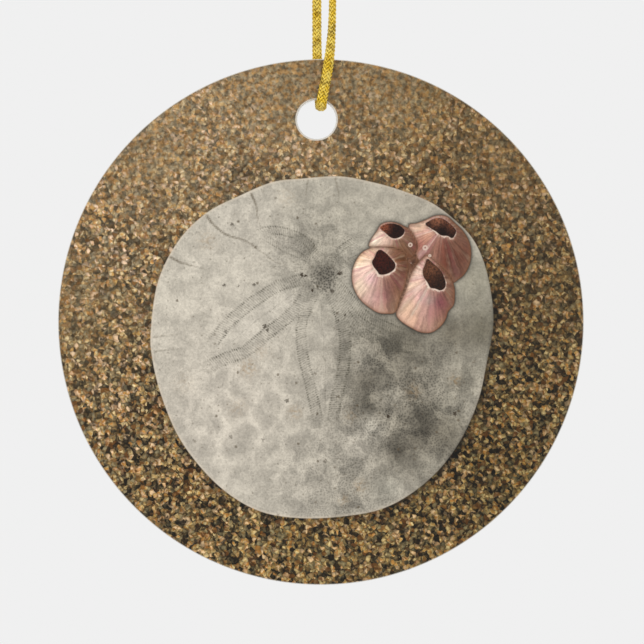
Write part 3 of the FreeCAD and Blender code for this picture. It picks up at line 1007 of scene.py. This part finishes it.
def barnacle_skin(g, spots):
    """Ribbed cones with pale lips, mauve stripes, dark creases and deep mouths."""
    way = g.attribute("barnacle_way", "Vector")
    rise = g.attribute("barnacle_rise")
    pull = g.add("CombineXYZ", {2: rise * 0.12})
    turn = pull.shift(way).shift(g.noise(spots, 1.2, 1, output="Color"), 0.045)
    ribs = g.noise(turn, 9.5, 3, 0.65, dimensions="3D")
    colour = g.attribute("barnacle_wash", "Color").scale(ribs.step(0.34, 0.66, 0.73, 1.22))
    stripe = g.noise(turn.shift((11, 0, 4)), 3.4, dimensions="3D")
    colour = colour.mix(stripe.step(0.46, 0.72, 0, 0.50), tone(190, 120, 132))
    pale = g.noise(turn.shift((3, 7, 0)), 5, dimensions="3D")
    colour = colour.mix(pale.step(0.46, 0.80, 0, 0.55), tone(242, 224, 202))
    growth = g.noise(pull.shift(way, 0.04), 40, dimensions="3D")
    colour = colour.scale(growth.step(0.3, 0.7, 0.93, 1.06))
    colour = colour.scale(g.noise(spots, 3, 3, 0.7).step(0.3, 0.7, 0.92, 1.08))
    out_right, out_up = way.parts("SeparateXYZ")[:2]
    facing = (out_up * 0.25 - out_right) * rise.step(0, 0.25)
    colour = colour.scale(facing.step(-1, 1, 0.40, 1.22))
    colour = colour.mix(facing.step(-1, 0.35, 0.9, 0), (1.0, 0.78, 0.62), "MULTIPLY")
    colour = colour.scale(g.attribute("barnacle_light"))
    lip = rise - (out_up.step(-0.9, 0.5, 0.02, -0.05) + (g.noise(spots, 2.2) - 0.5) * 0.22)
    whole = g.noise(spots, 0.8).step(0.36, 0.60, 0.40, 0.85)
    colour = colour.mix(lip.step(0.01, 0.09, 1, 0) * whole, tone(240, 220, 200))
    edge = g.attribute("barnacle_edge")
    colour = colour.mix(edge.step(0, 0.55, 0.60, 0), tone(120, 78, 50))
    colour = colour.mix(edge.step(0, 0.18, 0.75, 0), tone(70, 44, 28))
    inner = g.attribute("mouth_wash", "Color").mix(1.0, (0.5, 0.36, 0.28), "MULTIPLY")
    inner = inner.scale(g.noise(spots, 3.4, 3, 0.75).step(0.3, 0.7, 0.4, 1.7))
    colour = colour.mix(g.attribute("mouth_depth").step(-0.06, 0.09), inner)
    ring = g.attribute("ring_gap")
    colour = colour.mix(abs(ring - 0.8).step(0.1, 0.5, 1, 0) * 0.75, tone(222, 200, 182))
    return colour.mix(ring.step(0.15, 0.5, 0.7, 0), tone(96, 66, 50))


def printed_coat(settings):
    """The picture under a thin clear coat, running out to white just at the rim."""
    g = Graph("printed_coat", "2D")
    spots = g.spots(scale=(1000, 0, 1000), tilt=math.pi / 2)
    colour = sand(g, spots, settings)
    colour = colour.mix(g.attribute("test_depth").step(-0.08, 0.10), test_skin(g, spots))
    body = g.attribute("barnacle_depth")
    contact = body.step(-0.8, 0, 0, 0.26) + body.step(-0.30, 0, 0, 0.40)
    colour = colour.scale(1 - contact)
    colour = colour.mix(body.step(-0.07, 0.08), barnacle_skin(g, spots))
    colour = colour.mix(g.attribute("edge_gap").step(0.02, 0.20, 0.9, 0), tone(236, 232, 224))
    g.set(Base_Color=colour, Roughness=settings.coat_roughness, Specular_IOR_Level=0.2)
    g.bump(g.noise(spots, 0.6, 1), 0.05, 0.0002)
    return g.material


def white_glaze(settings):
    """A white glaze with a soft orange peel and a few pinholes."""
    g = Graph("white_glaze")
    spots = g.spots()
    colour = g.scaled(tuple(settings.glaze), g.noise(spots, 0.12, 3).step(0.3, 0.7, 0.965, 1.02))
    pin = g.cells(spots, 0.22)
    hole = pin.step(0.02, 0.045, 1, 0) * pin.output("Color").parts()[1].step(0.7, 0.8)
    g.set(Base_Color=colour.mix(hole * 0.7, tone(120, 104, 84)), Roughness=settings.glaze_roughness,
          Coat_Weight=0.4, Coat_Roughness=0.06)
    g.bump(g.noise(spots, 0.9) - hole * 0.6, 0.12, 0.0002)
    return g.material


def gold_yarn(settings):
    """Flat metallic yarn with fine filaments along each strand, with painted shade that makes it darker
    down at its edges, and blotches of painted highlights and painted shade.
    """
    g = Graph("gold_yarn")
    spots = g.spots()
    across = g.spots(scale=(1, 1, 1), coordinates="UV").parts("SeparateXYZ")[0]
    crown = g.math("COSINE", across * FULL_TURN)
    filaments = g.noise(g.spots(scale=(15, 60, 1), coordinates="UV"), 1, 2, 0.6)
    # Painted highlights: soft blotches of pale gold over the yarn; then painted shade: blotches of dark
    # gold.
    colour = g.mix(g.noise(spots, 1.1, 3, 0.6).step(0.34, 0.66), tuple(settings.gold), tone(250, 222, 110))
    colour = colour.mix(g.noise(spots, 0.9, 3, 0.6).step(0.48, 0.66, 0, 0.65), tone(140, 106, 14))
    # Painted shade: each strand darker down at its edges, where it dips under its neighbours, with a faint
    # painted highlight along its crown.
    colour = colour.scale(filaments.step(0.3, 0.7, 0.66, 1.15) * crown.step(-0.3, 0.7, 0.30, 1.08))
    g.set(Base_Color=colour, Metallic=0.8, Roughness=settings.yarn_roughness)
    g.bump(filaments, 0.3, 0.00004)
    return g.material


def cord_core(settings):
    """The dull core in the gaps of the braid; its dark colour is painted shade for the depth of the gaps.
    """
    g = Graph("cord_core")
    colour = g.scaled(tuple(settings.core), g.noise(g.spots(), 4).step(0.3, 0.7, 0.7, 1.3))
    g.set(Base_Color=colour, Roughness=0.7)
    return g.material


# Operators

class ORNAMENT_OT_stage(bpy.types.Operator):
    """Adds the camera, the soft lights and the surroundings"""
    bl_idname = "ornament.stage"
    bl_label = "Stage"

    def execute(self, context):
        settings = context.scene.ornament_stage
        data = bpy.data.cameras.new("camera")
        data.sensor_width = 36
        data.lens = data.sensor_width * settings.distance / settings.view_width
        data.clip_start = 0.01
        camera = bpy.data.objects.new("camera", data)
        context.scene.collection.objects.link(camera)
        camera.location = (DISC_MIDDLE.x + CAMERA_SIDE, FRONT_Y - settings.distance, DISC_MIDDLE.z)
        camera.rotation_euler = (math.pi / 2, 0, 0)
        context.scene.camera = camera
        world = bpy.data.worlds.new("surround")
        context.scene.world = world
        world.use_nodes = True
        world.node_tree.nodes["Background"].inputs[0].default_value = (*settings.surround, 1)
        context.scene.view_settings.view_transform = "Standard"
        for name, place, size, share in LIGHTS:
            data = bpy.data.lights.new(name, "AREA")
            data.size = size
            data.energy = share * settings.key_power
            lamp = bpy.data.objects.new(name, data)
            context.scene.collection.objects.link(lamp)
            lamp.location = Vector(place) + DISC_MIDDLE
            lamp.rotation_euler = (DISC_MIDDLE - lamp.location).to_track_quat("-Z", "Y").to_euler()
        return {"FINISHED"}


class ORNAMENT_OT_knot(bpy.types.Operator):
    """Ties the knot of the doubled cord"""
    bl_idname = "ornament.knot"
    bl_label = "Knot"

    def execute(self, context):
        settings = context.scene.ornament_cord
        piece = braided_piece("tied_knot", [KNOT_FRONT, KNOT_BACK], settings)[0]
        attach(piece, "knot")
        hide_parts("cord_knot")
        return {"FINISHED"}


class ORNAMENT_OT_ends(bpy.types.Operator):
    """Adds the two free ends above the knot"""
    bl_idname = "ornament.ends"
    bl_label = "Cord Ends"

    def execute(self, context):
        settings = context.scene.ornament_cord
        for name, node, route in (("front_tail", "cord_end_front", FRONT_END_ROUTE),
                                  ("back_tail", "cord_end_back", BACK_END_ROUTE)):
            piece = braided_piece(name, [route], settings)[0]
            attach(piece, "knot")
            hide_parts(node)
        return {"FINISHED"}


class ORNAMENT_OT_cord(bpy.types.Operator):
    """Builds the braided gold loop that runs through the hole"""
    bl_idname = "ornament.cord"
    bl_label = "Cord Loop"

    def execute(self, context):
        settings = context.scene.ornament_cord
        piece, line = braided_piece("gold_loop", [CORD_ROUTE], settings, LOOP_TURN)
        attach(piece, "loop")
        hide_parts("cord_loop")
        return {"FINISHED"}


class ORNAMENT_OT_body(bpy.types.Operator):
    """Builds the white glazed disc with its rounded rim and hole"""
    bl_idname = "ornament.body"
    bl_label = "Glazed Disc"

    def execute(self, context):
        settings = context.scene.ornament_disc
        piece = build_disc(settings)
        piece.data.materials.append(white_glaze(settings))
        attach(piece, "disc")
        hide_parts("ceramic_disc")
        return {"FINISHED"}


class ORNAMENT_OT_print(bpy.types.Operator):
    """Builds the printed face and paints its picture"""
    bl_idname = "ornament.print"
    bl_label = "Printed Face"

    def execute(self, context):
        settings = context.scene.ornament_print
        piece = build_face(context.scene.ornament_disc, settings.cells)
        picture_attributes(piece.data, context.scene.ornament_disc)
        piece.data.materials.append(printed_coat(settings))
        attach(piece, "disc")
        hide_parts("front_print")
        return {"FINISHED"}


class ORNAMENT_PT_panel(bpy.types.Panel):
    """Lists the ornament's pieces in the sidebar"""
    bl_label = "Ornament"
    bl_idname = "ORNAMENT_PT_panel"
    bl_space_type = "VIEW_3D"
    bl_region_type = "UI"
    bl_category = "Ornament"

    def draw(self, context):
        for step in STEPS:
            self.layout.operator(step.bl_idname)


STEPS = (ORNAMENT_OT_stage, ORNAMENT_OT_knot, ORNAMENT_OT_ends, ORNAMENT_OT_cord, ORNAMENT_OT_body,
         ORNAMENT_OT_print)
GROUPS = {"ornament_disc": OrnamentDiscSettings, "ornament_print": OrnamentPrintSettings,
          "ornament_cord": OrnamentCordSettings, "ornament_stage": OrnamentStageSettings}


def register():
    for cls in (*GROUPS.values(), *STEPS, ORNAMENT_PT_panel):
        bpy.utils.register_class(cls)
    for name, group in GROUPS.items():
        setattr(bpy.types.Scene, name, bpy.props.PointerProperty(type=group))


def unregister():
    for name in GROUPS:
        delattr(bpy.types.Scene, name)
    for cls in reversed((*GROUPS.values(), *STEPS, ORNAMENT_PT_panel)):
        bpy.utils.unregister_class(cls)


def main():
    register()
    for step in STEPS:
        group, name = step.bl_idname.split(".")
        getattr(getattr(bpy.ops, group), name)()


if __name__ == "__main__":
    main()
